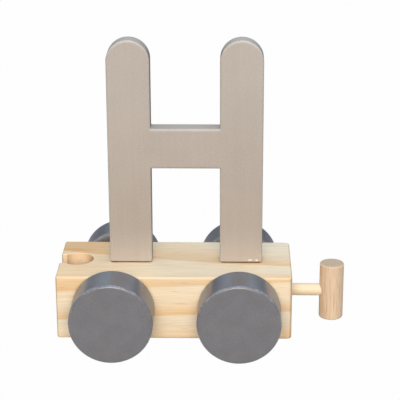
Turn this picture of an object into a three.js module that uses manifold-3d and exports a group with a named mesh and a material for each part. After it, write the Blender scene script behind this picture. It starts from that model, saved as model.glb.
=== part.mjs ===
// Letter-train wagon: a pine block on four painted wheels carries an upright, painted letter H.
// A peg on a rod at the rear end couples into the keyhole socket in the front end of the next wagon.
// Millimetres, +Z up. The wagon runs towards -X, so -Y is its left side and the peg stands at +X.
// The origin is on the floor, under the middle of the overall length and width.

import * as THREE from "three";
import { mergeVertices } from "three/addons/utils/BufferGeometryUtils.js";
import Module from "manifold-3d";

const wasm = await Module();
wasm.setup();

// Block
const blockLength = 71;
const blockWidth = 30;
const blockHeight = 20;
const blockArris = 0.8;
const blockCornerEase = 0.2;

// Letter, on the block's top, set back from the rear end
const letterHeight = 69.5;
const letterWidth = 46.5;
const letterThickness = 6;
const strokeWidth = 12.9;
const barHeight = 12.4;
const barAboveFoot = 30.2;
const letterArris = 0.6;
const footCornerEase = 0.1;
const letterSetback = 8.9;

// Dowels in the letter's feet
const letterDowelDiameter = 3;
const letterDowelInLetter = 8;
const woodUnderDowel = 1.2;

// Wheels and axles
const wheelDiameter = 25;
const wheelThickness = 12.2;
const wheelArris = 0.9;
const wheelFaceWall = 4;
const wheelSideGap = 0.8;
const axleDiameter = 6;
const axleAboveUnderside = 10.2;
const axleRunningGap = 0.4;
const frontAxleSetback = 17.3;
const rearAxleSetback = 15.9;

// Coupling: a rod and a peg at the rear end, a keyhole socket at the front end
const rodDiameter = 3.8;
const rodExposed = 9;
const rodAboveUnderside = 10.2;
const woodBehindRod = 2.5;
const pegDiameter = 7.4;
const pegLength = 17.8;
const pegArris = 0.5;
const pegFaceWall = 2.4;
const socketPlay = 1.2;
const socketEndWall = 0.4;
const slotPlay = 1.4;
const slotMouthEase = 0.15;

// Glued joints
const glueGap = 0.1;
const glueEndGap = 0.3;

// Smoothness of round shapes, in steps
const wheelSteps = 64;
const dowelSteps = 32;
const armEndSteps = 24;
const socketSteps = 28;
const cornerSteps = 4;
const arrisSteps = 3;

// Places along X, measured from the block's middle
const rearEnd = blockLength / 2;
const frontEnd = -rearEnd;
const letterRear = rearEnd - letterSetback;
const letterFront = letterRear - letterWidth;
const pegX = rearEnd + rodExposed + pegDiameter / 2;
const overallRear = pegX + pegDiameter / 2;
const overallMiddle = (frontEnd + overallRear) / 2;

// Heights, measured from the floor
const axleHeight = wheelDiameter / 2;
const underside = axleHeight - axleAboveUnderside;
const blockTop = underside + blockHeight;
const rodHeight = underside + rodAboveUnderside;

// Bores, and how deep the glued dowels go into them
const axleBore = axleDiameter + 2 * axleRunningGap;
const letterDowelHole = letterDowelDiameter + 2 * glueGap;
const letterDowelFoot = axleHeight + axleBore / 2 + woodUnderDowel + glueEndGap;
const letterDowelHead = blockTop + letterDowelInLetter;
const rodHole = rodDiameter + 2 * glueGap;
const rodFront = rearEnd - rearAxleSetback + axleBore / 2 + woodBehindRod + glueEndGap;
const rodRear = overallRear - pegFaceWall - glueEndGap;
const socketRadius = pegDiameter / 2 + socketPlay;
const socketX = frontEnd + socketEndWall + socketRadius;
const slotHalfWidth = rodDiameter / 2 + slotPlay;

const letterLegs = [
  { end: "front", x: letterFront + strokeWidth / 2 },
  { end: "rear", x: letterRear - strokeWidth / 2 },
];
const wheelsets = [
  { end: "front", x: frontEnd + frontAxleSetback },
  { end: "rear", x: rearEnd - rearAxleSetback },
];

const pine = { color: 0xe4cfa3, roughness: 0.62, metalness: 0 };
const greigePaint = { color: 0xc0b4a7, roughness: 0.5, metalness: 0 };
const greyPaint = { color: 0x7d7a7d, roughness: 0.45, metalness: 0 };
const birch = { color: 0xecdcb8, roughness: 0.6, metalness: 0 };
const beech = { color: 0xd4b18c, roughness: 0.6, metalness: 0 };

const quarterTurn = Math.PI / 2;
const halfTurn = Math.PI;

// Points along an arc from one angle to another, clockwise where the second angle is smaller
function arc(x, y, radius, start, end, steps) {
  const curve = new THREE.EllipseCurve(x, y, radius, radius, start, end, end < start);
  return curve.getPoints(steps);
}

// A flat board of the given outline about the XY plane, with the arrises of both faces rounded
function board(outline, thickness, arris) {
  const geometry = new THREE.ExtrudeGeometry(new THREE.Shape(outline), {
    depth: thickness - 2 * arris,
    bevelThickness: arris,
    bevelSize: arris,
    bevelOffset: -arris,
    bevelSegments: arrisSteps,
  });
  return geometry.translate(0, 0, arris - thickness / 2);
}

// A round bar across the wagon, centred on the origin
function crosswise(diameter, length) {
  return new THREE.CylinderGeometry(diameter / 2, diameter / 2, length, dowelSteps);
}

// A round bar that stands between two heights
function upright(diameter, x, low, high) {
  const bar = crosswise(diameter, high - low).rotateX(quarterTurn);
  return bar.translate(x, 0, (low + high) / 2);
}

// A round bar that lies along the wagon between two places
function lengthwise(diameter, front, rear, height) {
  const bar = crosswise(diameter, rear - front).rotateZ(quarterTurn);
  return bar.translate((front + rear) / 2, 0, height);
}

// Profile of one rounded end of a turned piece about Y, from its flat face round to its side
function roundedArris(radius, face, arris, upper) {
  const rim = radius - arris;
  if (upper) {
    return arc(rim, face - arris, arris, 0, quarterTurn, arrisSteps);
  }
  return arc(rim, face + arris, arris, -quarterTurn, 0, arrisSteps);
}

function solidFrom(geometry) {
  const bare = geometry.clone();
  bare.deleteAttribute("normal");
  bare.deleteAttribute("uv");
  const merged = mergeVertices(bare);
  const triangles = [];
  for (let i = 0; i < merged.index.count; i += 3) {
    const [a, b, c] = merged.index.array.slice(i, i + 3);
    if (a !== b && b !== c && c !== a) {
      triangles.push(a, b, c);
    }
  }
  return new wasm.Manifold(new wasm.Mesh({
    numProp: 3,
    vertProperties: Float32Array.from(merged.attributes.position.array),
    triVerts: Uint32Array.from(triangles),
  }));
}

function geometryFrom(solid) {
  const { vertProperties, triVerts } = solid.getMesh();
  const geometry = new THREE.BufferGeometry();
  geometry.setAttribute("position", new THREE.BufferAttribute(vertProperties, 3));
  geometry.setIndex(new THREE.BufferAttribute(triVerts, 1));
  geometry.computeVertexNormals();
  return geometry;
}

function cut(geometry, cutters) {
  let solid = solidFrom(geometry);
  for (const cutter of cutters) {
    solid = solid.subtract(solidFrom(cutter));
  }
  return geometryFrom(solid);
}

function piece(name, geometry, finish) {
  const mesh = new THREE.Mesh(geometry, new THREE.MeshStandardMaterial(finish));
  mesh.name = name;
  return mesh;
}

// The block seen from above: rounded corners, and the keyhole socket open through the front end
function blockOutline() {
  const corner = blockArris + blockCornerEase;
  const mouth = blockArris + slotMouthEase;
  const endX = rearEnd - corner;
  const sideY = blockWidth / 2 - corner;
  const mouthX = frontEnd + mouth;
  const mouthY = slotHalfWidth + mouth;
  const meetAngle = halfTurn - Math.asin(slotHalfWidth / socketRadius);
  return [
    ...arc(endX, -sideY, corner, -quarterTurn, 0, cornerSteps),
    ...arc(endX, sideY, corner, 0, quarterTurn, cornerSteps),
    ...arc(-endX, sideY, corner, quarterTurn, halfTurn, cornerSteps),
    ...arc(mouthX, mouthY, mouth, halfTurn, halfTurn + quarterTurn, cornerSteps),
    ...arc(socketX, 0, socketRadius, meetAngle, -meetAngle, socketSteps),
    ...arc(mouthX, -mouthY, mouth, quarterTurn, halfTurn, cornerSteps),
    ...arc(-endX, -sideY, corner, halfTurn, halfTurn + quarterTurn, cornerSteps),
  ];
}

// The letter H seen from its left side, standing on the foot line: round arm ends, square inner corners
function letterOutline() {
  const armRadius = strokeWidth / 2;
  const armTop = letterHeight - armRadius;
  const corner = letterArris + footCornerEase;
  const barTop = barAboveFoot + barHeight;
  const frontInner = letterFront + strokeWidth;
  const rearInner = letterRear - strokeWidth;
  const foot = (start) => [
    ...arc(start + corner, corner, corner, halfTurn, halfTurn + quarterTurn, cornerSteps),
    ...arc(start + strokeWidth - corner, corner, corner, -quarterTurn, 0, cornerSteps),
  ];
  const armEnd = (start) => arc(start + armRadius, armTop, armRadius, 0, halfTurn, armEndSteps);
  return [
    ...foot(letterFront),
    new THREE.Vector2(frontInner, barAboveFoot),
    new THREE.Vector2(rearInner, barAboveFoot),
    ...foot(rearInner),
    ...armEnd(rearInner),
    new THREE.Vector2(rearInner, barTop),
    new THREE.Vector2(frontInner, barTop),
    ...armEnd(letterFront),
  ];
}

function makeBlock() {
  const blank = board(blockOutline(), blockHeight, blockArris);
  blank.translate(0, 0, underside + blockHeight / 2);
  const axleBores = wheelsets.map(({ x }) => {
    return crosswise(axleBore, 2 * blockWidth).translate(x, 0, axleHeight);
  });
  const dowelHoles = letterLegs.map(({ x }) => {
    return upright(letterDowelHole, x, letterDowelFoot - glueEndGap, letterDowelHead);
  });
  const rodBore = lengthwise(rodHole, rodFront - glueEndGap, overallRear, rodHeight);
  return piece("wagon_block", cut(blank, [...axleBores, ...dowelHoles, rodBore]), pine);
}

function makeLetter() {
  const blank = board(letterOutline(), letterThickness, letterArris).rotateX(quarterTurn);
  blank.translate(0, 0, blockTop);
  const holes = letterLegs.map(({ x }) => {
    return upright(letterDowelHole, x, letterDowelFoot, letterDowelHead + glueEndGap);
  });
  return piece("letter_h", cut(blank, holes), greigePaint);
}

function makeLetterDowels() {
  return letterLegs.map(({ end, x }) => {
    const bar = upright(letterDowelDiameter, x, letterDowelFoot, letterDowelHead);
    return piece(`letter_dowel_${end}`, bar, beech);
  });
}

// A solid wheel about Y; its outer face is at 0 and its blind axle bore opens towards +Y
function wheelGeometry() {
  const radius = wheelDiameter / 2;
  const boreRadius = axleDiameter / 2 + glueGap;
  return new THREE.LatheGeometry([
    new THREE.Vector2(0, 0),
    ...roundedArris(radius, 0, wheelArris, false),
    ...roundedArris(radius, wheelThickness, wheelArris, true),
    new THREE.Vector2(boreRadius, wheelThickness),
    new THREE.Vector2(boreRadius, wheelFaceWall),
    new THREE.Vector2(0, wheelFaceWall),
  ], wheelSteps);
}

// One axle with a wheel glued on each end, about the axle's middle
function makeWheelset({ end, x }) {
  const wheelFace = blockWidth / 2 + wheelSideGap + wheelThickness;
  const axleEnd = wheelFace - wheelFaceWall - glueEndGap;
  const leftWheel = piece(`${end}_left_wheel`, wheelGeometry(), greyPaint);
  leftWheel.position.y = -wheelFace;
  const rightWheel = piece(`${end}_right_wheel`, wheelGeometry(), greyPaint);
  rightWheel.position.y = wheelFace;
  rightWheel.rotation.z = halfTurn;
  const axle = piece(`${end}_axle`, crosswise(axleDiameter, 2 * axleEnd), beech);
  const set = new THREE.Group();
  set.add(leftWheel, rightWheel, axle);
  set.position.set(x, 0, axleHeight);
  return set;
}

function makeRod() {
  return piece("coupling_rod", lengthwise(rodDiameter, rodFront, rodRear, rodHeight), birch);
}

function makePeg() {
  const radius = pegDiameter / 2;
  const half = pegLength / 2;
  const bar = new THREE.LatheGeometry([
    new THREE.Vector2(0, -half),
    ...roundedArris(radius, -half, pegArris, false),
    ...roundedArris(radius, half, pegArris, true),
    new THREE.Vector2(0, half),
  ], dowelSteps);
  bar.rotateX(quarterTurn).translate(pegX, 0, rodHeight);
  const bore = lengthwise(rodHole, rearEnd, rodRear + glueEndGap, rodHeight);
  return piece("coupling_peg", cut(bar, [bore]), beech);
}

const wagon = new THREE.Group();
wagon.add(makeBlock(), makeLetter(), ...makeLetterDowels());
wagon.add(...wheelsets.map(makeWheelset));
wagon.add(makeRod(), makePeg());
wagon.position.x = -overallMiddle;

export default wagon;
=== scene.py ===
from math import asin, cos, degrees, hypot, pi, radians, sin

import bmesh
import bpy
from bpy.props import FloatProperty, FloatVectorProperty, PointerProperty
from mathutils import Color, Matrix, Vector


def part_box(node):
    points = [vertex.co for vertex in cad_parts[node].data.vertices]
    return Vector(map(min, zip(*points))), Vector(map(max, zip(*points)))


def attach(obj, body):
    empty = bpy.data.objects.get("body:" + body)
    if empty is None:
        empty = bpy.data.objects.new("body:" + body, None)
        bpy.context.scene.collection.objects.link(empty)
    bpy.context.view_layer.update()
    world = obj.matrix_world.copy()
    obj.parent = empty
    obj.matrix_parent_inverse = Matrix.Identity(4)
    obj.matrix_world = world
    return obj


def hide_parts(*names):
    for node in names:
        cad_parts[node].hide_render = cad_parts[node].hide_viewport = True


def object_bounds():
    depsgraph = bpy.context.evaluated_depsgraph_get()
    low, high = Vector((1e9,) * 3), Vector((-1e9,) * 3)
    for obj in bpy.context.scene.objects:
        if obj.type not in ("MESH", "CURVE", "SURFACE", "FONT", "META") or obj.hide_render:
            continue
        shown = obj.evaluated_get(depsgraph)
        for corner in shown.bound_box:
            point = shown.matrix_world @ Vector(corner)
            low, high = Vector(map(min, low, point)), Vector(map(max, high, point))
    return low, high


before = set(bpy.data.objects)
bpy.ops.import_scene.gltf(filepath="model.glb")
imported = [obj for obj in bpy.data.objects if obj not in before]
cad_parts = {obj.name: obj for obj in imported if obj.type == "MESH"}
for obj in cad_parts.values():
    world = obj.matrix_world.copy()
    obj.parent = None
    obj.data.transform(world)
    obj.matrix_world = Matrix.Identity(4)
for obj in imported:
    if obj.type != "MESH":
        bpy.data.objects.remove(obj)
CAD_LOW, CAD_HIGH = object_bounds()

bl_info = {
    "name": "Letter Train Wagon",
    "version": (1, 0, 0),
    "blender": (4, 5, 0),
    "location": "View3D > Sidebar > Wagon",
    "description": "Builds a wooden letter-train wagon and its white studio stage",
    "category": "Object",
}

MM = 0.001
X, Y, Z = range(3)
SCREEN_WHITE = 255

# How finely round stretches are drawn
ARC_STEPS = 10
ROUND_STEPS = 32
ARRIS_STEPS = 6
WHEEL_STEPS = 160
DOWEL_STEPS = 72
SHARP_ANGLE = radians(38)

# Flats get a line of points close to their ends, so that they shade flat: this far from the corners of an
# outline's long straights, and this share of an arris's radius beyond the arris
SHOULDER = 0.1 * MM
SHOULDER_SHARE = 0.12
LONG_STRAIGHT = 1.0 * MM

# Room that the pieces leave one another
GLUE_GAP = 0.1 * MM
GLUE_END_GAP = 0.3 * MM
AXLE_RUNNING_GAP = 0.4 * MM

WHEELSETS = {
    "front_wheelset": ("front_axle", "front_left_wheel", "front_right_wheel"),
    "rear_wheelset": ("rear_axle", "rear_left_wheel", "rear_right_wheel"),
}
LETTER_DOWELS = ("letter_dowel_front", "letter_dowel_rear")

# Noise runs from 0 to 1, with most of it in the first range and nearly all of it in the second
MOST_NOISE = (0.25, 0.75)
NEARLY_ALL_NOISE = (0.2, 0.8)

# How squarely a surface faces an axis where a side becomes an arris, and where an arris becomes a face
SIDE_TO_ARRIS = (0.1, 0.45)
ARRIS_TO_FACE = (0.72, 0.98)

# How latewood builds up through one growth ring, as (part of the ring, strength)
LATEWOOD_BUILD_UP = ((0.0, 0.0), (0.4, 0.0), (0.6, 0.3), (0.8, 0.78), (0.92, 1.0), (1.0, 0.0))

# Two chips in the paint of the rear foot, as (from the foot's edge to the chip's middle, half its width)
FOOT_CHIPS = ((3.7 * MM, 0.65 * MM), (1.6 * MM, 0.45 * MM))
CHIP_ABOVE_FOOT = 1.0 * MM
CHIP_HALF_HEIGHT = 0.3 * MM
CHIP_DEPTH = 1.0 * MM

FLOOR_REACH = 4.0


def display(red, green, blue):
    """The linear colour of one that is given as a screen shows it, from 0 to 255."""
    shown = Color((red / SCREEN_WHITE, green / SCREEN_WHITE, blue / SCREEN_WHITE))
    return (*shown.from_srgb_to_scene_linear(), 1.0)


def length(name, description, millimetres):
    """A size that a user can change."""
    return FloatProperty(
        name=name, description=description, default=millimetres * MM, min=0.0, unit="LENGTH", precision=5
    )


def where(name, description, *millimetres):
    """A place that a user can change."""
    return FloatVectorProperty(
        name=name, description=description, default=tuple(value * MM for value in millimetres),
        size=3, subtype="TRANSLATION", unit="LENGTH",
    )


def tilt(name, description, amount):
    """An angle that a user can change, given in degrees."""
    return FloatProperty(name=name, description=description, default=radians(amount), subtype="ANGLE")


def power(name, description, watts):
    """The power of a lamp, which a user can change."""
    return FloatProperty(name=name, description=description, default=watts, min=0.0, unit="POWER")


def share(name, description, default):
    """A strength from 0 to 1 that a user can change."""
    return FloatProperty(
        name=name, description=description, default=default, min=0.0, max=1.0, subtype="FACTOR"
    )


def colour(name, description, red, green, blue):
    """A colour that a user can change, given as a screen shows it."""
    return FloatVectorProperty(
        name=name, description=description, default=display(red, green, blue),
        min=0.0, max=1.0, size=4, subtype="COLOR",
    )


class BlockSettings(bpy.types.PropertyGroup):
    """Sizes and colours of the pine block."""

    arris: length("Arris", "Radius of the block's long rounded arrises", 0.65)
    front_corner: length("Front corner", "Radius of the upright corners at the socket end", 0.8)
    rear_corner: length("Rear corner", "Radius of the upright corners at the peg end", 1.3)
    socket_diameter: length("Socket bore", "Diameter of the bore for the peg of the wagon in front", 9.8)
    socket_inset: length("Socket inset", "From the front end to the middle of the bore", 5.3)
    slot_width: length("Slot", "Width of the slot from the bore to the front end", 6.6)
    slot_mouth: length("Slot mouth", "Radius of the corners where the slot opens", 0.8)
    socket_arris: length("Socket arris", "Radius of the socket's rims", 0.25)
    ring_width: length("Growth rings", "From one growth ring of the pine to the next", 8.05)
    pith_above: length("Pith above", "From the block's top up to the middle of its growth rings", 49.3)
    pith_aside: length("Pith aside", "How far the growth rings' middle lies to the wagon's right", 18.0)
    fibre_rise: tilt("Fibre rise", "How the fibres rise towards the rear", 1.5)
    streak_tone: share("Streaks", "How much streaks along the fibres lighten and darken the wood", 0.05)
    fibre_tone: share("Fibres", "How much the fine fibres lighten and darken the wood", 0.06)
    duct_strength: share("Resin ducts", "How strongly the resin ducts show", 0.4)
    end_strength: share("End grain strength", "How strongly the end grain darkens the wood", 0.55)
    earlywood: colour("Earlywood", "Pale wood at the start of each ring", 252, 230, 195)
    latewood: colour("Latewood", "Orange wood at the end of each ring", 240, 194, 135)
    sapwood: colour("Sapwood", "Cooler pale wood in long patches", 249, 232, 202)
    resin: colour("Resin", "Short dark resin ducts", 190, 140, 88)
    end_grain: colour("End grain", "Brown that darkens the wood across its fibres", 205, 165, 125)


class LetterSettings(bpy.types.PropertyGroup):
    """Sizes and colours of the painted letter."""

    stroke: length("Stroke", "Width of the two uprights", 12.9)
    bar_height: length("Bar height", "Height of the bar between the uprights", 12.4)
    bar_above_foot: length("Bar above foot", "From the feet to the underside of the bar", 30.2)
    arris: length("Arris", "Radius of the letter's rounded arrises", 0.75)
    foot_arris: length("Foot arris", "Radius of the arris round the feet", 0.45)
    foot_corner: length("Foot corner", "Radius of the corners of the feet", 1.0)
    inner_corner: length("Inner corner", "Radius of the corners between bar and uprights", 0.35)
    paint: colour("Paint", "Warm greige satin paint", 184, 171, 157)
    # Painted light: this paler, greyer paint stands in for the top of the letter being lit more strongly
    upper_lit_paint: colour("Upper paint", "Paler and greyer paint towards the top", 191, 181, 170)
    # This pale colour serves the chips in the paint, and also painted light: the highlight on the arrises
    # and the light just above the feet
    primer_and_light: colour("Primer", "Pale primer that shows where the arrises are rubbed", 236, 229, 220)
    # Painted shadow: this dark colour is the shade under the feet, in the groove between foot and block
    foot_shadow: colour("Glue line", "Dark line of glue under the feet", 84, 62, 46)
    # Painted shade: this darker colour stands in for the shade on the upright sides, which face away from
    # the lamps
    edge: colour("Edge", "Darker paint on the upright edges, where it sinks into the board", 104, 86, 72)
    # Painted light: paler paint just above the feet stands in for light thrown up from the block's top
    foot_bounce_light: share("Foot fade", "How much paler the paint is just above the feet", 0.14)
    foot_shadow_strength: share("Glue strength", "How strongly the line of glue shows", 0.95)
    side_shade_strength: share("Edge strength", "How strongly the upright edges darken", 0.55)


class WheelSettings(bpy.types.PropertyGroup):
    """Sizes and colours of the painted wheels."""

    arris: length("Arris", "Radius of the rounded edge of a wheel", 0.9)
    bore_bevel: length("Bore bevel", "Bevel round the mouth of the axle's bore", 0.3)
    face_wall: length("Face wall", "Wood left between the axle's bore and the outer face", 4.0)
    paint: colour("Paint", "Mid grey satin paint", 109, 107, 110)
    # This pale colour serves the nicks on the rims, and also a painted highlight along their arris
    primer_and_light: colour("Primer", "Pale primer that shows where the rims are rubbed", 190, 192, 196)
    mottle: share("Mottle", "How much broad patches lighten and darken the paint", 0.08)
    speckle: share("Speckle", "How much fine specks lighten and darken the paint", 0.09)


class DowelSettings(bpy.types.PropertyGroup):
    """Sizes and colours of the bare dowels."""

    peg_arris: length("Peg arris", "Radius of the edges of the coupling peg", 0.5)
    end_arris: length("End arris", "Radius of the edges of the other dowels", 0.3)
    birch: colour("Birch", "Pale wood of the coupling rod", 250, 230, 194)
    beech: colour("Beech", "Wood of the peg and of the hidden dowels", 237, 207, 173)
    beech_fleck: colour("Beech flecks", "Fine dark dashes in the beech", 184, 143, 104)
    birch_flecking: share("Birch flecking", "How strongly beech-coloured dashes show in the birch", 0.4)
    beech_flecking: share("Beech flecking", "How strongly the dark dashes show in the beech", 0.5)
    end_lightness: share("End lightness", "How much of its lightness the wood keeps on dowel ends", 0.7)


class StageSettings(bpy.types.PropertyGroup):
    """Camera, lamps, room and floor."""

    camera_place: where("Camera", "Where the camera stands", 9.36, -424.06, 191.77)
    pitch: tilt("Pitch", "How far the camera looks down", 19.49)
    yaw: tilt("Yaw", "How far the camera looks to the left", 1.34)
    roll: tilt("Roll", "Turn of the camera about its view", -0.2)
    lens: FloatProperty(name="Lens", description="Focal length", default=133.3, unit="CAMERA")

    floor: colour("Floor", "Colour of the floor in the light that it throws back", 148, 148, 148)
    floor_white: share("Floor white", "How much of the floor's light is white to the camera", 0.985)
    mirrored_floor: where("Mirrored floor", "Middle of the white floor that gloss mirrors", 0, -300, 0)
    mirrored_reach: length("Mirrored reach", "From that middle to where the white starts to fade", 360)
    mirrored_end: length("Mirrored end", "From that middle to where the white has faded", 440)

    horizon: colour("Horizon", "Dark room at the height of the wagon", 14, 14, 16)
    ceiling: colour("Ceiling", "Pale bluish ceiling of the room", 186, 200, 219)
    backdrop: colour("Backdrop", "Bluish white backdrop that glossy paint mirrors", 220, 240, 255)
    white: colour("Background", "What the camera sees behind the floor", 255, 255, 255)
    horizon_end: share("Horizon end", "Sine of the angle up to which the room is dark", 0.22)
    ceiling_start: share("Ceiling start", "Sine of the angle from which the room is pale", 0.62)
    mirrored_horizon: share("Mirrored horizon", "Sine of the angle up to which gloss mirrors dark", 0.17)
    mirrored_backdrop: share("Mirrored backdrop", "Sine of the angle from which gloss mirrors white", 0.33)

    key_place: where("Front lamp", "Where the lamp behind the camera stands", 0, -1000, 460)
    key_width: length("Front lamp width", "Width of the lamp behind the camera", 700)
    key_power: power("Front lamp power", "Power of the lamp behind the camera", 9.75)
    key_tint: colour("Front lamp colour", "Colour of the front lamp and of the fill lamps", 255, 246, 236)
    top_place: where("Top lamp", "Where the lamp overhead hangs", 0, -60, 1000)
    top_width: length("Top lamp width", "Width of the lamp overhead", 800)
    top_power: power("Top lamp power", "Power of the lamp overhead", 2.45)
    top_tint: colour("Top lamp colour", "Colour of the lamp overhead", 216, 235, 255)
    left_fill: where("Left fill", "Where the fill lamp behind the front end stands", -750, 750, 220)
    right_fill: where("Right fill", "Where the fill lamp behind the rear end stands", 750, 750, 220)
    fill_width: length("Fill width", "Width of each fill lamp", 500)
    fill_power: power("Fill power", "Power of each fill lamp", 1.0)


class WagonSettings(bpy.types.PropertyGroup):
    """Everything that a user can change about the wagon."""

    block: PointerProperty(type=BlockSettings)
    letter: PointerProperty(type=LetterSettings)
    wheels: PointerProperty(type=WheelSettings)
    dowels: PointerProperty(type=DowelSettings)
    stage: PointerProperty(type=StageSettings)


# Shapes


def bend(centre, radius, start, end, arris, steps=ARC_STEPS):
    """Outline points along an arc, with angles in degrees; falling angles run clockwise."""
    points = []
    for step in range(steps + 1):
        angle = radians(start + (end - start) * step / steps)
        points.append((centre[0] + radius * cos(angle), centre[1] + radius * sin(angle), arris))
    return points


def shouldered(outline):
    """The outline with points added close to both ends of its long straights."""
    points = []
    for here, ahead in zip(outline, outline[1:] + outline[:1]):
        points.append(here)
        straight = hypot(ahead[0] - here[0], ahead[1] - here[1])
        if straight > LONG_STRAIGHT:
            for part in (SHOULDER / straight, 1 - SHOULDER / straight):
                points.append(tuple(near + (far - near) * part for near, far in zip(here, ahead)))
    return points


def inward_mitres(outline):
    """For each point, the step that moves both lines beside it inwards by one."""
    flat = [Vector(point[:2]) for point in outline]
    mitres = []
    for before, here, ahead in zip(flat[-1:] + flat[:-1], flat, flat[1:] + flat[:1]):
        arriving = (here - before).normalized().orthogonal()
        leaving = (ahead - here).normalized().orthogonal()
        mitres.append((arriving + leaving) / (1 + arriving.dot(leaving)))
    return mitres


def arris_profile():
    """Steps of a rounded arris as (inset, depth), in parts of its radius, from face to side."""
    profile = [(1 + SHOULDER_SHARE, 0.0)]
    for step in range(ARRIS_STEPS + 1):
        angle = pi / 2 * step / ARRIS_STEPS
        profile.append((1 - sin(angle), 1 - cos(angle)))
    profile.append((0.0, 1 + SHOULDER_SHARE))
    return profile


def add_piece(name, shape, place=Matrix.Identity(4)):
    """Turns a bmesh into an object of the scene, shaded smooth up to its sharp edges."""
    mesh = bpy.data.meshes.new(name)
    shape.to_mesh(mesh)
    shape.free()
    piece = bpy.data.objects.new(name, mesh)
    piece.matrix_world = place
    bpy.context.scene.collection.objects.link(piece)
    shade(piece)
    return piece


def shade(piece):
    """Smooth shading that breaks at sharp edges."""
    piece.data.shade_smooth()
    piece.data.set_sharp_from_angle(angle=SHARP_ANGLE)


def board(name, outline, thickness, place):
    """A board of (across, along, arris) points, anticlockwise as seen from the top, with round arrises."""
    outline = shouldered(outline)
    mitres = inward_mitres(outline)
    profile = arris_profile()
    layers = [(inset, depth, 0.0, 1.0) for inset, depth in profile]
    layers += [(inset, depth, thickness, -1.0) for inset, depth in reversed(profile)]
    shape = bmesh.new()
    rings = []
    for inset, depth, level, sense in layers:
        ring = []
        for (across, along, arris), mitre in zip(outline, mitres):
            x = across + mitre.x * inset * arris
            y = along + mitre.y * inset * arris
            ring.append(shape.verts.new((x, y, level + sense * depth * arris)))
        rings.append(ring)
    skin(shape, rings)
    shape.faces.new(reversed(rings[0]))
    shape.faces.new(rings[-1])
    bmesh.ops.transform(shape, matrix=place, verts=shape.verts)
    return add_piece(name, shape)


def skin(shape, rings):
    """Faces between each ring of points and the next; a ring of one point makes a fan."""
    for lower, upper in zip(rings, rings[1:]):
        for step in range(max(len(lower), len(upper))):
            corners = (
                lower[step % len(lower)],
                lower[(step + 1) % len(lower)],
                upper[(step + 1) % len(upper)],
                upper[step % len(upper)],
            )
            shape.faces.new(list(dict.fromkeys(corners)))


def turned(name, profile, steps, place):
    """A piece turned about its own Z from (radius, height) points, lowest first."""
    shape = bmesh.new()
    rings = []
    for radius, height in profile:
        if radius == 0:
            rings.append([shape.verts.new((0.0, 0.0, height))])
            continue
        turns = [2 * pi * step / steps for step in range(steps)]
        rings.append([shape.verts.new((radius * cos(turn), radius * sin(turn), height)) for turn in turns])
    skin(shape, rings)
    return add_piece(name, shape, place)


def round_end(radius, level, arris, sense):
    """Profile points from the axis out to the side of a turned piece; sense is 1 at its low end."""
    points = [(0.0, level)]
    for inset, depth in arris_profile():
        points.append((radius - inset * arris, level + sense * depth * arris))
    return points


def along(start, end):
    """A place whose own Z runs from start towards end."""
    return Matrix.Translation(start) @ (end - start).to_track_quat("Z", "Y").to_matrix().to_4x4()


def dowel(name, start, end, radius, arris):
    """A round bar with eased ends."""
    reach = (end - start).length
    profile = round_end(radius, 0.0, arris, 1.0) + round_end(radius, reach, arris, -1.0)[::-1]
    return turned(name, profile, DOWEL_STEPS, along(start, end))


def drill(piece, holes):
    """Cuts round holes, given as (start, end, radius), out of a piece."""
    # Turned by half a step, the bit's edges miss those of a dowel that it goes through
    half_step = Matrix.Rotation(pi / DOWEL_STEPS, 4, "Z")
    for start, end, radius in holes:
        reach = (end - start).length
        profile = [(0.0, 0.0), (radius, 0.0), (radius, reach), (0.0, reach)]
        bit = turned("bit", profile, DOWEL_STEPS, along(start, end) @ half_step)
        cut = piece.modifiers.new("hole", "BOOLEAN")
        cut.operation = "DIFFERENCE"
        cut.solver = "EXACT"
        cut.object = bit
        bpy.context.view_layer.update()
        whole = piece.data
        depsgraph = bpy.context.evaluated_depsgraph_get()
        piece.data = bpy.data.meshes.new_from_object(piece.evaluated_get(depsgraph))
        piece.modifiers.clear()
        piece.data.name = piece.name
        bpy.data.meshes.remove(whole)
        bpy.data.meshes.remove(bit.data)
    shade(piece)


def dress(piece, finish, body, node):
    """Gives a piece its finish and puts it on its body in the place of a CAD node."""
    if not piece.data.polygons:
        raise RuntimeError(f"{piece.name} came out empty")
    piece.data.materials.clear()
    piece.data.materials.append(finish)
    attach(piece, body)
    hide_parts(node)


def middle(node):
    """The middle of a CAD node's box."""
    low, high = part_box(node)
    return (low + high) / 2


def round_bar(node, axis, past=0.0, room=0.0):
    """A round CAD node along an axis as (start, end, radius), with room added at its ends and round it."""
    low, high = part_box(node)
    start, end = middle(node), middle(node)
    start[axis] = low[axis] - past
    end[axis] = high[axis] + past
    across = X if axis == Z else Z
    return start, end, (high[across] - low[across]) / 2 + room


def glue_hole(node, axis):
    """The hole that a dowel is glued into, as (start, end, radius)."""
    return round_bar(node, axis, GLUE_END_GAP, GLUE_GAP)


def axle_hole(node):
    """The bore that an axle runs in, as (start, end, radius), drawn as long as the axle."""
    return round_bar(node, Y, room=AXLE_RUNNING_GAP)


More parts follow.
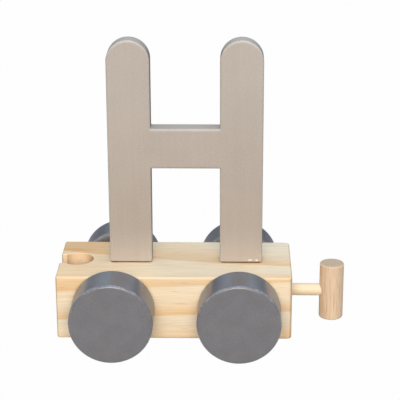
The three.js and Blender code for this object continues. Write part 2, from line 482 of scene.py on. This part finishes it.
def block_outline(look):
    """The block from above, with its round corners and the keyhole socket in its front end."""
    low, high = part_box("wagon_block")
    front, rear, arris = look.front_corner, look.rear_corner, look.arris
    rim, half_slot, bore = look.socket_arris, look.slot_width / 2, look.socket_diameter / 2
    ease = look.slot_mouth
    centre = (low.x + look.socket_inset, 0.0)
    mouth = degrees(asin(half_slot / bore))
    # From here to the slot the block's arris shrinks to the socket's rim
    beside_slot = half_slot + ease + 2 * arris
    outline = bend((low.x + front, low.y + front), front, 180, 270, arris)
    outline += bend((high.x - rear, low.y + rear), rear, 270, 360, arris)
    outline += bend((high.x - rear, high.y - rear), rear, 0, 90, arris)
    outline += bend((low.x + front, high.y - front), front, 90, 180, arris)
    outline.append((low.x, beside_slot, arris))
    outline += bend((low.x + ease, half_slot + ease), ease, 180, 270, rim)
    outline += bend(centre, bore, 180 - mouth, mouth - 180, rim, 2 * ROUND_STEPS)
    outline += bend((low.x + ease, -half_slot - ease), ease, 90, 180, rim)
    outline.append((low.x, -beside_slot, arris))
    return outline


def letter_outline(look):
    """The letter from the front: two uprights with round tops and a bar between them."""
    low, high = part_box("letter_h")
    stroke, arris, foot, inner = look.stroke, look.arris, look.foot_arris, look.inner_corner
    corner = look.foot_corner
    top = stroke / 2
    left, right = low.x + stroke, high.x - stroke
    under, over = low.z + look.bar_above_foot, low.z + look.bar_above_foot + look.bar_height

    def foot_corners(start, end):
        points = bend((start + corner, low.z + corner), corner, 180, 270, foot)
        return points + bend((end - corner, low.z + corner), corner, 270, 360, foot)

    def round_top(edge):
        return bend((edge - top, high.z - top), top, 0, 180, arris, ROUND_STEPS)

    # Up to here the small arris of the feet grows to the full one
    above_foot = low.z + corner + 3 * arris
    outline = foot_corners(low.x, left)
    outline.append((left, above_foot, arris))
    outline += bend((left + inner, under - inner), inner, 180, 90, arris)
    outline += bend((right - inner, under - inner), inner, 90, 0, arris)
    outline.append((right, above_foot, arris))
    outline += foot_corners(right, high.x)
    outline.append((high.x, above_foot, arris))
    outline += round_top(high.x)
    outline += bend((right - inner, over + inner), inner, 0, -90, arris)
    outline += bend((left + inner, over + inner), inner, 270, 180, arris)
    outline += round_top(left)
    outline.append((low.x, above_foot, arris))
    return outline


def wheel_profile(look, radius, thickness, bore, bore_depth):
    """A wheel's profile from the middle of its outer face to the bottom of its blind bore."""
    bevel = look.bore_bevel
    profile = round_end(radius, 0.0, look.arris, 1.0)
    profile += round_end(radius, thickness, look.arris, -1.0)[:0:-1]
    profile += [(bore + bevel, thickness), (bore, thickness - bevel)]
    profile += [(bore, thickness - bore_depth), (0.0, thickness - bore_depth)]
    return profile


# Finishes


class Finish:
    """A material that is built up node by node round one shader, in the piece's own coordinates."""

    def __init__(self, name, specular):
        self.material = bpy.data.materials.new(name)
        self.material.use_nodes = True
        self.tree = self.material.node_tree
        self.tree.nodes.clear()
        self.shader = self.add("BsdfPrincipled")
        self.feed(self.shader.inputs["Specular IOR Level"], specular)
        self.surface = self.add("OutputMaterial").inputs["Surface"]
        self.feed(self.surface, self.shader.outputs["BSDF"])
        coordinates = self.add("TexCoord").outputs
        self.spot = coordinates["Object"]
        normal = self.axes(coordinates["Normal"])
        self.facing = {axis: self.reckon("ABSOLUTE", normal[axis]) for axis in "XYZ"}

    def add(self, kind, **settings):
        """A node of a kind, with its own settings."""
        node = self.tree.nodes.new("ShaderNode" + kind)
        for name, value in settings.items():
            setattr(node, name, value)
        return node

    def feed(self, socket, value):
        """Links a socket to another one, or sets its value."""
        if isinstance(value, bpy.types.NodeSocket):
            self.tree.links.new(value, socket)
        else:
            socket.default_value = value

    def framed(self, origin=(0, 0, 0), turn=(0, 0, 0), stretch=(1, 1, 1)):
        """Coordinates in a frame of their own, drawn out along its axes."""
        node = self.add("Mapping", vector_type="TEXTURE")
        self.feed(node.inputs["Vector"], self.spot)
        self.feed(node.inputs["Location"], origin)
        self.feed(node.inputs["Rotation"], turn)
        self.feed(node.inputs["Scale"], stretch)
        return node.outputs["Vector"]

    def axes(self, vector):
        """The X, Y and Z of a vector."""
        node = self.add("SeparateXYZ")
        self.feed(node.inputs["Vector"], vector)
        return node.outputs

    def distance(self, vector):
        """How far a point is from the origin of its coordinates."""
        node = self.add("VectorMath", operation="LENGTH")
        self.feed(node.inputs[0], vector)
        return node.outputs["Value"]

    def from_axis(self, first, second):
        """How far a point is from an axis, from its two coordinates across that axis."""
        node = self.add("CombineXYZ")
        self.feed(node.inputs["X"], first)
        self.feed(node.inputs["Y"], second)
        return self.distance(node.outputs["Vector"])

    def noise(self, spot, size, detail, roughness=0.5):
        """Soft noise from 0 to 1, with patches of about the given size."""
        node = self.add("TexNoise")
        self.feed(node.inputs["Vector"], spot)
        self.feed(node.inputs["Scale"], 1 / size)
        self.feed(node.inputs["Detail"], detail)
        self.feed(node.inputs["Roughness"], roughness)
        return node.outputs["Fac"]

    def reckon(self, operation, *values):
        """One step of arithmetic."""
        node = self.add("Math", operation=operation)
        for socket, value in zip(node.inputs, values):
            self.feed(socket, value)
        return node.outputs["Value"]

    def spread(self, value, between, to=(0.0, 1.0)):
        """A value brought from one range to another, eased and held at the ends."""
        node = self.add("MapRange", interpolation_type="SMOOTHSTEP")
        self.feed(node.inputs["Value"], value)
        for name, end in zip(("From Min", "From Max", "To Min", "To Max"), (*between, *to)):
            self.feed(node.inputs[name], end)
        return node.outputs["Result"]

    def ramp(self, value, stops):
        """A strength along a value, from (position, strength) stops."""
        node = self.add("ValToRGB")
        node.color_ramp.interpolation = "EASE"
        points = node.color_ramp.elements
        while len(points) < len(stops):
            points.new(1.0)
        for point, (position, strength) in zip(points, stops):
            point.position = position
            point.color = (strength, strength, strength, 1.0)
        self.feed(node.inputs["Fac"], value)
        return node.outputs["Color"]

    def blend(self, part, first, second, mode="MIX"):
        """Two colours blended."""
        node = self.add("Mix", data_type="RGBA", blend_type=mode)
        self.feed(node.inputs["Factor"], part)
        first_colour, second_colour = [socket for socket in node.inputs if socket.type == "RGBA"]
        self.feed(first_colour, first)
        self.feed(second_colour, second)
        return next(socket for socket in node.outputs if socket.type == "RGBA")

    def tone(self, base, value, reach):
        """A colour made lighter and darker by a value about one half, by up to the given reach."""
        node = self.add("HueSaturation")
        self.feed(node.inputs["Value"], self.spread(value, MOST_NOISE, to=(1 - reach, 1 + reach)))
        self.feed(node.inputs["Color"], base)
        return node.outputs["Color"]

    def arris(self, axis):
        """1 on the rounded edges between a face across an axis and the sides along it, 0 elsewhere."""
        off_side = self.spread(self.facing[axis], SIDE_TO_ARRIS)
        return self.spread(self.facing[axis], ARRIS_TO_FACE, to=(off_side, 0.0))

    def coat(self, base):
        """Gives the surface its colour."""
        self.feed(self.shader.inputs["Base Color"], base)

    def roughen(self, value, least, most):
        """Roughness that follows a noise, from the least to the most."""
        roughness = self.spread(value, NEARLY_ALL_NOISE, to=(least, most))
        self.feed(self.shader.inputs["Roughness"], roughness)

    def bump(self, height, depth):
        """Relief of the given depth, on top of any that is there."""
        node = self.add("Bump")
        self.feed(node.inputs["Height"], height)
        self.feed(node.inputs["Distance"], depth)
        normal = self.shader.inputs["Normal"]
        if normal.is_linked:
            self.feed(node.inputs["Normal"], normal.links[0].from_socket)
        self.feed(normal, node.outputs["Normal"])


def pine_finish(look):
    """Bare sanded pine: growth rings that end sharply, streaks along the fibres and short resin ducts."""
    finish = Finish("bare_pine", specular=0.08)
    low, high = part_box("wagon_block")
    pith = Vector((0.0, look.pith_aside, high.z + look.pith_above))
    from_pith = finish.axes(finish.framed(pith))
    radius = finish.from_axis(from_pith["Y"], from_pith["Z"])

    def grain(size, stretch, detail, roughness=0.5):
        """Noise that is drawn out along the fibres."""
        spot = finish.framed(pith, (0.0, -look.fibre_rise, 0.0), stretch)
        return finish.noise(spot, size, detail, roughness)

    wander = grain(10 * MM, stretch=(5, 1, 1), detail=1.0)
    streaks = grain(0.9 * MM, stretch=(22, 1.3, 1), detail=3.0, roughness=0.6)
    fibres = grain(0.3 * MM, stretch=(40, 1, 1), detail=2.0, roughness=0.6)
    patches = grain(9 * MM, stretch=(5, 1.6, 1), detail=1.0)
    ducts = grain(0.4 * MM, stretch=(14, 1, 1), detail=1.0)

    # The rings run out of the board: they climb to the rear on its left side and fall from its middle on
    left_slope, middle_slope = 0.042, -0.066
    left_side, near_middle = low.y - pith.y, -2 * MM - pith.y
    wander_depth = 0.6 * MM
    ring_shift = 0.29
    slope = finish.spread(from_pith["Y"], between=(left_side, near_middle), to=(left_slope, middle_slope))
    sloped = finish.reckon("MULTIPLY_ADD", from_pith["X"], slope, radius)
    warped = finish.reckon("MULTIPLY_ADD", wander, wander_depth, sloped)
    rings = finish.reckon("MULTIPLY_ADD", warped, 1 / look.ring_width, ring_shift)
    late = finish.ramp(finish.reckon("FRACT", rings), LATEWOOD_BUILD_UP)

    # Heartwood at the front end is darker in the rings near the pith, and resinous in the innermost
    heart_full, heart_end = low.x + 6 * MM, low.x + 30 * MM
    dark_rings = (58 * MM, 66 * MM)
    resin_rings = (53 * MM, 59 * MM)
    heart = finish.spread(from_pith["X"], between=(heart_full, heart_end), to=(1.0, 0.0))
    dark = finish.reckon("MULTIPLY", heart, finish.spread(radius, dark_rings, to=(0.45, 0.0)))
    resinous = finish.reckon("MULTIPLY", heart, finish.spread(radius, resin_rings, to=(0.4, 0.0)))

    early = finish.blend(finish.spread(patches, between=(0.42, 0.62)), look.earlywood, look.sapwood)
    early = finish.blend(dark, early, look.latewood)
    broken_up = finish.spread(streaks, between=(0.3, 0.7), to=(0.5, 1.0))
    late_strength = finish.reckon("MULTIPLY", late, broken_up)
    weaker_outside_heart = finish.spread(heart, between=(0.0, 1.0), to=(0.85, 1.0))
    late_strength = finish.reckon("MULTIPLY", late_strength, weaker_outside_heart)
    wood = finish.blend(late_strength, early, look.latewood)
    wood = finish.blend(finish.reckon("MULTIPLY", resinous, late_strength), wood, look.resin)
    wood = finish.tone(wood, streaks, look.streak_tone)
    wood = finish.tone(wood, fibres, look.fibre_tone)
    dashes = finish.spread(ducts, between=(0.68, 0.8), to=(0.0, look.duct_strength))
    wood = finish.blend(dashes, wood, look.resin)
    end_grain = finish.spread(finish.facing["X"], between=(0.35, 0.9), to=(0.0, look.end_strength))
    finish.coat(finish.blend(end_grain, wood, look.end_grain, "MULTIPLY"))
    finish.roughen(streaks, least=0.5, most=0.62)
    finish.bump(fibres, depth=0.03 * MM)
    finish.bump(late, depth=0.04 * MM)
    return finish.material


def letter_finish(look):
    """Satin paint on board with a trace of the wood and two chips, and painted light: pale arrises that
    carry a highlight, shade on the upright sides, a shadow under the feet, and paint that grows paler
    above the feet and towards the top.
    """
    finish = Finish("greige_satin_paint", specular=0.12)
    low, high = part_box("letter_h")
    height = finish.axes(finish.framed((0, 0, low.z)))["Z"]
    cloud = finish.noise(finish.spot, 16 * MM, detail=2.0)
    trace = finish.noise(finish.framed(stretch=(1, 1, 30)), 0.9 * MM, detail=2.0, roughness=0.6)
    speck = finish.noise(finish.spot, 0.5 * MM, detail=1.0)

    # Painted light: the paint grows paler and greyer towards the top, where the letter is lit more
    # strongly
    upper = finish.spread(height, between=(10 * MM, 60 * MM))
    paint = finish.blend(upper, look.paint, look.upper_lit_paint)
    # Painted light: paler paint just above the feet stands in for light thrown up from the block's top
    bounce_lit = finish.spread(height, between=(1 * MM, 13 * MM), to=(look.foot_bounce_light, 0.0))
    paint = finish.blend(bounce_lit, paint, look.primer_and_light)
    paint = finish.tone(paint, cloud, reach=0.03)
    paint = finish.tone(paint, trace, reach=0.015)
    paint = finish.tone(paint, speck, reach=0.04)

    # Painted highlight: the arrises along the faces are paler in patches; the chips below are real wear in
    # the paint
    patchy = finish.spread(cloud, between=(0.3, 0.6), to=(0.1, 0.3))
    rubbed_and_highlit = finish.reckon("MULTIPLY", finish.arris("Y"), patchy)
    clear_of_foot_shadow = finish.spread(height, between=(0.8 * MM, 2.0 * MM))
    rubbed_and_highlit = finish.reckon("MULTIPLY", rubbed_and_highlit, clear_of_foot_shadow)
    for inset, half_width in FOOT_CHIPS:
        middle_of_chip = (high.x - inset, low.y, low.z + CHIP_ABOVE_FOOT)
        around = finish.framed(middle_of_chip, stretch=(half_width, CHIP_DEPTH, CHIP_HALF_HEIGHT))
        ragged = finish.reckon("ADD", finish.distance(around), speck)
        chip = finish.spread(ragged, between=(1.2, 1.6), to=(0.9, 0.0))
        rubbed_and_highlit = finish.reckon("MAXIMUM", rubbed_and_highlit, chip)
    paint = finish.blend(rubbed_and_highlit, paint, look.primer_and_light)

    # Painted shadow: a dark line at the foot of the letter, where shade falls in the groove between foot
    # and block
    foot_shadow = finish.spread(height, between=(0.25 * MM, 0.65 * MM), to=(look.foot_shadow_strength, 0.0))
    paint = finish.blend(foot_shadow, paint, look.foot_shadow)
    # Painted shade: the upright sides, which face away from the lamps, are darkened
    edge = finish.spread(finish.facing["X"], between=(0.8, 0.98), to=(0.0, look.side_shade_strength))
    finish.coat(finish.blend(edge, paint, look.edge))
    finish.roughen(cloud, least=0.38, most=0.46)
    finish.bump(speck, depth=0.02 * MM)
    finish.bump(trace, depth=0.02 * MM)
    return finish.material


def wheel_finish(look):
    """Satin paint on turned wood: mottled, nicked on its rims, with faint rings from the turning tool, and
    a pale arris that is worn and also carries a painted highlight.
    """
    finish = Finish("grey_satin_paint", specular=0.8)
    cloud = finish.noise(finish.spot, 5 * MM, detail=3.0)
    speck = finish.noise(finish.spot, 0.45 * MM, detail=1.0)
    nicks = finish.noise(finish.spot, 0.8 * MM, detail=2.0)
    from_middle = finish.axes(finish.spot)
    radius = finish.from_axis(from_middle["X"], from_middle["Y"])
    ring = finish.noise(radius, 0.6 * MM, detail=2.0)

    paint = finish.tone(look.paint, cloud, look.mottle)
    paint = finish.tone(paint, speck, look.speckle)
    paint = finish.tone(paint, ring, reach=0.015)
    # The pale arris is partly a painted highlight, and partly wear that the nicks break up
    patchy = finish.spread(cloud, between=(0.3, 0.6), to=(0.04, 0.14))
    rubbed_and_highlit = finish.reckon("MULTIPLY", finish.arris("Z"), patchy)
    nicked = finish.spread(nicks, between=(0.42, 0.68), to=(0.4, 3.0))
    rubbed_and_highlit = finish.reckon("MULTIPLY", rubbed_and_highlit, nicked)
    finish.coat(finish.blend(rubbed_and_highlit, paint, look.primer_and_light))
    finish.roughen(cloud, least=0.28, most=0.34)
    finish.bump(speck, depth=0.008 * MM)
    finish.bump(ring, depth=0.006 * MM)
    return finish.material


def dowel_finish(name, look, base, fleck, flecking):
    """Bare dowel wood with its grain along the dowel: fine streaks, short flecks and darker end grain."""
    finish = Finish(name, specular=0.35)
    streaks = finish.noise(finish.framed(stretch=(1, 1, 22)), 0.55 * MM, detail=3.0, roughness=0.6)
    dashes = finish.noise(finish.framed(stretch=(1, 1, 24)), 0.25 * MM, detail=2.0)
    pores = finish.noise(finish.spot, 0.3 * MM, detail=2.0)

    wood = finish.tone(base, streaks, reach=0.06)
    flecks = finish.spread(dashes, between=(0.5, 0.72), to=(0.0, flecking))
    wood = finish.blend(flecks, wood, fleck)
    end_base = (*(channel * look.end_lightness for channel in base[:3]), 1.0)
    end_wood = finish.tone(end_base, pores, reach=0.12)
    end = finish.spread(finish.facing["Z"], between=(0.5, 0.9))
    finish.coat(finish.blend(end, wood, end_wood))
    finish.roughen(streaks, least=0.5, most=0.62)
    finish.bump(streaks, depth=0.03 * MM)
    finish.bump(pores, depth=0.015 * MM)
    return finish.material


def birch_finish(look):
    """Pale birch with faint flecks."""
    return dowel_finish("bare_birch", look, look.birch, look.beech, look.birch_flecking)


def beech_finish(name, look):
    """Beech with fine dark flecks."""
    return dowel_finish(name, look, look.beech, look.beech_fleck, look.beech_flecking)


def floor_finish(look):
    """Matt floor that shows white, and still takes a trace of the wagon's shadow."""
    finish = Finish("white_floor", specular=0.0)
    finish.coat(look.floor)
    finish.feed(finish.shader.inputs["Roughness"], 1.0)
    path = finish.add("LightPath").outputs
    mirrored = finish.reckon("MAXIMUM", path["Is Glossy Ray"], path["Is Transmission Ray"])
    distance = finish.distance(finish.framed(look.mirrored_floor))
    nearby = finish.spread(distance, between=(look.mirrored_reach, look.mirrored_end), to=(1.0, 0.0))
    mirrored = finish.reckon("MULTIPLY", mirrored, nearby)
    seen = finish.reckon("MAXIMUM", path["Is Camera Ray"], mirrored)
    glow = finish.add("Emission")
    mix = finish.add("MixShader")
    finish.feed(mix.inputs["Fac"], finish.reckon("MULTIPLY", seen, look.floor_white))
    finish.feed(mix.inputs[1], finish.shader.outputs["BSDF"])
    finish.feed(mix.inputs[2], glow.outputs["Emission"])
    finish.feed(finish.surface, mix.outputs["Shader"])
    return finish.material


# Operators


class WAGON_OT_block(bpy.types.Operator):
    """Make the pine block with its socket and bores"""

    bl_idname = "wagon.block"
    bl_label = "Block"

    def execute(self, context):
        look = context.scene.wagon.block
        low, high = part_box("wagon_block")
        lift = Matrix.Translation((0.0, 0.0, low.z))
        piece = board("pine_block", block_outline(look), high.z - low.z, lift)
        holes = [axle_hole(axle) for axle, *_ in WHEELSETS.values()]
        holes += [glue_hole(node, Z) for node in LETTER_DOWELS]
        holes.append(glue_hole("coupling_rod", X))
        drill(piece, holes)
        dress(piece, pine_finish(look), "wagon", "wagon_block")
        return {"FINISHED"}


class WAGON_OT_letter(bpy.types.Operator):
    """Make the painted letter"""

    bl_idname = "wagon.letter"
    bl_label = "Letter"

    def execute(self, context):
        look = context.scene.wagon.letter
        low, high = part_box("letter_h")
        upright = Matrix.Translation((0.0, high.y, 0.0)) @ Matrix.Rotation(pi / 2, 4, "X")
        piece = board("painted_letter", letter_outline(look), high.y - low.y, upright)
        drill(piece, [glue_hole(node, Z) for node in LETTER_DOWELS])
        dress(piece, letter_finish(look), "wagon", "letter_h")
        return {"FINISHED"}


class WAGON_OT_wheels(bpy.types.Operator):
    """Make the four painted wheels"""

    bl_idname = "wagon.wheels"
    bl_label = "Wheels"

    def execute(self, context):
        look = context.scene.wagon.wheels
        finish = wheel_finish(look)
        # Each wheel is turned by a quarter more, so that no two show the same mottling
        quarters = 0
        for body, (axle, *wheels) in WHEELSETS.items():
            *_, bore = round_bar(axle, Y, room=GLUE_GAP)
            for node in wheels:
                low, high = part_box(node)
                radius, thickness = (high.z - low.z) / 2, high.y - low.y
                profile = wheel_profile(look, radius, thickness, bore, thickness - look.face_wall)
                face = middle(node)
                side = -1.0 if face.y < 0 else 1.0
                face.y = low.y if side < 0 else high.y
                place = Matrix.Translation(face) @ Matrix.Rotation(side * pi / 2, 4, "X")
                place = place @ Matrix.Rotation(quarters * pi / 2, 4, "Z")
                quarters += 1
                piece = turned("painted_" + node, profile, WHEEL_STEPS, place)
                dress(piece, finish, body, node)
        return {"FINISHED"}


class WAGON_OT_dowels(bpy.types.Operator):
    """Make the axles and the dowels in the letter's feet"""

    bl_idname = "wagon.dowels"
    bl_label = "Axles and Letter Dowels"

    def execute(self, context):
        look = context.scene.wagon.dowels
        finish = beech_finish("hidden_beech", look)
        dowels = [(axle, Y, body) for body, (axle, *_) in WHEELSETS.items()]
        dowels += [(node, Z, "wagon") for node in LETTER_DOWELS]
        for node, axis, body in dowels:
            piece = dowel("turned_" + node, *round_bar(node, axis), look.end_arris)
            dress(piece, finish, body, node)
        return {"FINISHED"}


class WAGON_OT_coupling(bpy.types.Operator):
    """Make the coupling rod and its peg"""

    bl_idname = "wagon.coupling"
    bl_label = "Coupling"

    def execute(self, context):
        look = context.scene.wagon.dowels
        rod = dowel("birch_coupling_rod", *round_bar("coupling_rod", X), look.end_arris)
        dress(rod, birch_finish(look), "wagon", "coupling_rod")
        peg = dowel("beech_coupling_peg", *round_bar("coupling_peg", Z), look.peg_arris)
        drill(peg, [glue_hole("coupling_rod", X)])
        dress(peg, beech_finish("bare_beech", look), "wagon", "coupling_peg")
        return {"FINISHED"}


class WAGON_OT_stage(bpy.types.Operator):
    """Set up the white floor, the dim room, the soft lamps and the camera"""

    bl_idname = "wagon.stage"
    bl_label = "Stage"

    def execute(self, context):
        look = context.scene.wagon.stage
        context.scene.view_settings.view_transform = "Standard"
        self.add_floor(look)
        self.add_surround(context.scene, look)
        self.add_lamps(context.scene, look)
        self.add_camera(context.scene, look)
        return {"FINISHED"}

    def add_floor(self, look):
        """A wide round floor."""
        profile = [(0.0, 0.0), (FLOOR_REACH, 0.0)]
        floor = turned("floor", profile, DOWEL_STEPS, Matrix.Identity(4))
        floor.data.flip_normals()
        floor.data.materials.append(floor_finish(look))

    def add_surround(self, scene, look):
        """A room that is dark at the height of the wagon and paler above it."""
        world = bpy.data.worlds.new("dim_room")
        world.use_nodes = True
        nodes, links = world.node_tree.nodes, world.node_tree.links
        height = nodes.new("ShaderNodeSeparateXYZ")
        links.new(nodes.new("ShaderNodeTexCoord").outputs["Generated"], height.inputs["Vector"])
        path = nodes.new("ShaderNodeLightPath").outputs
        shown = nodes["Background"].outputs["Background"]
        lit = ((look.horizon_end, look.horizon), (look.ceiling_start, look.ceiling))
        mirrored = ((look.mirrored_horizon, look.horizon), (look.mirrored_backdrop, look.backdrop))
        seen = ((0.0, look.white), (1.0, look.white))
        views = ((None, lit), (path["Is Glossy Ray"], mirrored), (path["Is Camera Ray"], seen))
        for ray, stops in views:
            fade = nodes.new("ShaderNodeValToRGB")
            fade.color_ramp.interpolation = "EASE"
            for stop, (position, tint) in zip(fade.color_ramp.elements, stops):
                stop.position = position
                stop.color = tint
            links.new(height.outputs["Z"], fade.inputs["Fac"])
            if ray is None:
                links.new(fade.outputs["Color"], nodes["Background"].inputs["Color"])
                continue
            glow = nodes.new("ShaderNodeBackground")
            links.new(fade.outputs["Color"], glow.inputs["Color"])
            mix = nodes.new("ShaderNodeMixShader")
            links.new(ray, mix.inputs["Fac"])
            links.new(shown, mix.inputs[1])
            links.new(glow.outputs["Background"], mix.inputs[2])
            shown = mix.outputs["Shader"]
        links.new(shown, nodes["World Output"].inputs["Surface"])
        scene.world = world

    def add_lamps(self, scene, look):
        """Soft boxes, each as (name, place, width, watts, tint), turned to the wagon's middle."""
        target = (CAD_LOW + CAD_HIGH) / 2
        boxes = (
            ("key_box", look.key_place, look.key_width, look.key_power, look.key_tint),
            ("top_box", look.top_place, look.top_width, look.top_power, look.top_tint),
            ("left_fill", look.left_fill, look.fill_width, look.fill_power, look.key_tint),
            ("right_fill", look.right_fill, look.fill_width, look.fill_power, look.key_tint),
        )
        for name, place, width, watts, tint in boxes:
            lamp = bpy.data.lights.new(name, "AREA")
            lamp.shape = "DISK"
            lamp.size = width
            lamp.energy = watts
            lamp.color = tint[:3]
            holder = bpy.data.objects.new(name, lamp)
            # A lamp shines against its own Z
            holder.matrix_world = along(place, 2 * place - target)
            scene.collection.objects.link(holder)

    def add_camera(self, scene, look):
        """The camera stands a little above the wagon and looks down at it."""
        camera = bpy.data.cameras.new("camera")
        camera.lens = look.lens
        holder = bpy.data.objects.new("camera", camera)
        turn = Matrix.Rotation(look.yaw, 4, "Z") @ Matrix.Rotation(pi / 2 - look.pitch, 4, "X")
        turn = turn @ Matrix.Rotation(look.roll, 4, "Z")
        holder.matrix_world = Matrix.Translation(look.camera_place) @ turn
        scene.collection.objects.link(holder)
        scene.camera = holder


class WAGON_PT_sidebar(bpy.types.Panel):
    """Lists what the add-on makes"""

    bl_idname = "WAGON_PT_sidebar"
    bl_label = "Letter Train Wagon"
    bl_space_type = "VIEW_3D"
    bl_region_type = "UI"
    bl_category = "Wagon"

    def draw(self, context):
        for operator in OPERATORS:
            self.layout.operator(operator.bl_idname)


SETTINGS = (BlockSettings, LetterSettings, WheelSettings, DowelSettings, StageSettings, WagonSettings)
OPERATORS = (
    WAGON_OT_block,
    WAGON_OT_letter,
    WAGON_OT_wheels,
    WAGON_OT_dowels,
    WAGON_OT_coupling,
    WAGON_OT_stage,
)


def register():
    """Adds the settings, the operators and the panel to Blender."""
    for kind in (*SETTINGS, *OPERATORS, WAGON_PT_sidebar):
        bpy.utils.register_class(kind)
    bpy.types.Scene.wagon = PointerProperty(type=WagonSettings)


def unregister():
    """Takes them out again."""
    del bpy.types.Scene.wagon
    for kind in reversed((*SETTINGS, *OPERATORS, WAGON_PT_sidebar)):
        bpy.utils.unregister_class(kind)


def main():
    """Makes every piece and the stage."""
    register()
    bpy.ops.wagon.block()
    bpy.ops.wagon.letter()
    bpy.ops.wagon.wheels()
    bpy.ops.wagon.dowels()
    bpy.ops.wagon.coupling()
    bpy.ops.wagon.stage()


if __name__ == "__main__":
    main()
